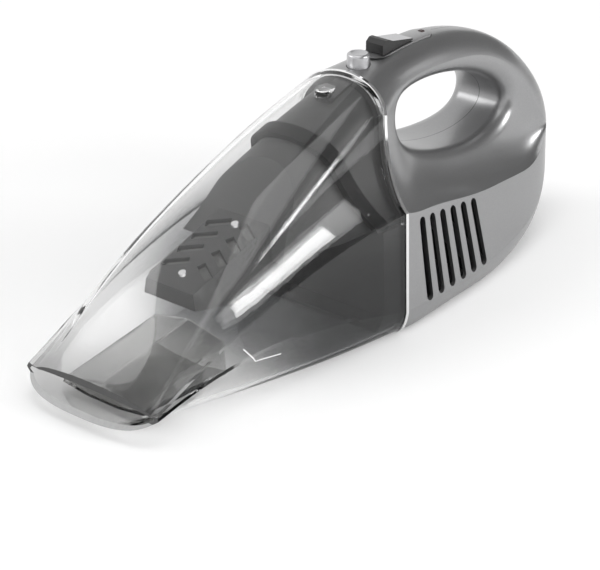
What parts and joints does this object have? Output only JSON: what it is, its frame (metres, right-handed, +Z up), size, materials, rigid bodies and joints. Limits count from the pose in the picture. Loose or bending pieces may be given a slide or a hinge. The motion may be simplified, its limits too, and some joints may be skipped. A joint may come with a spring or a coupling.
{
  "type": "handheld vacuum",
  "caption": "Cordless handheld vacuum with a silver loop-handle housing, a clear smoked dust container with wedge nozzle, filter, motor, fan and battery.",
  "frame": {"origin": "on the ground, midway between the lower lip of the nozzle and the tail, on the mid plane", "axes": "+X from the nozzle to the tail, +Y to the side that the case screws go in from, +Z up"},
  "size_m": [0.36, 0.1172, 0.1329],
  "materials": {
    "smoked_clear": "polished transparent plastic with a grey tint",
    "chrome": "bright plated",
    "dark_grey_plastic": "moulded, fine grain",
    "black_plastic": "moulded, satin",
    "black_rubber": "soft, matt",
    "filter_cloth": "felted cloth",
    "silver_paint": "silver metallic paint on moulded plastic",
    "steel": "turned and plated",
    "copper": "turned copper bars",
    "carbon": "pressed carbon",
    "magnet": "sintered",
    "cell_sleeve": "shrunk sleeve over a steel can",
    "board": "circuit board with solder mask",
    "lamp": "tinted lamp window"
  },
  "bodies": {
    "housing": {"housing_left": "silver_paint", "housing_right": "silver_paint", "trim_ring": "chrome", "front_bulkhead": "dark_grey_plastic", "air_housing": "black_plastic", "motor_can": "steel", "field_magnets": "magnet", "motor_end_cap": "black_plastic", "carbon_brushes": "carbon", "motor_mount": "black_rubber", "battery_cells": "cell_sleeve", "battery_cradle": "black_plastic", "charging_socket": "black_plastic", "switch_body": "black_plastic", "switch_plate": "silver_paint", "circuit_board": "board", "indicator_lens": "lamp", "latch_tongue": "black_plastic", "case_screws": "steel"},
    "container": {"dust_container": "smoked_clear", "inlet_duct": "smoked_clear"},
    "filter": {"filter_frame": "dark_grey_plastic", "filter_seal": "black_rubber", "filter_pegs": "steel", "filter_cloth": "filter_cloth"},
    "rotor": {"motor_shaft": "steel", "armature": "steel", "commutator": "copper", "fan": "black_plastic", "fan_nut": "steel"},
    "slider": {"power_slider": "black_plastic"},
    "button": {"release_button": "silver_paint"}
  },
  "joints": [
    {"name": "container_slide", "type": "slide", "parent": "housing", "child": "container", "axis": [-1, 0, 0], "range_m": [0, 0.19], "deforming": ["latch_tongue"]},
    {"name": "filter_slide", "type": "slide", "parent": "housing", "child": "filter", "axis": [-1, 0, 0], "range_m": [0, 0.095]},
    {"name": "release_press", "type": "slide", "parent": "housing", "child": "button", "axis": [0, 0, -1], "range_m": [0, 0.003], "stiffness_N_per_m": 600, "deforming": ["latch_tongue"]},
    {"name": "power_slide", "type": "slide", "parent": "housing", "child": "slider", "axis": [-1, 0, 0], "range_m": [0, 0.006]},
    {"name": "fan_spin", "type": "hinge", "parent": "housing", "child": "rotor", "pos_m": [0.05, 0, 0.04], "axis": [1, 0, 0], "continuous": true}
  ],
  "couplings": [
    {"joint": "filter_slide", "follows": "container_slide", "ratio": 0.5}
  ]
}
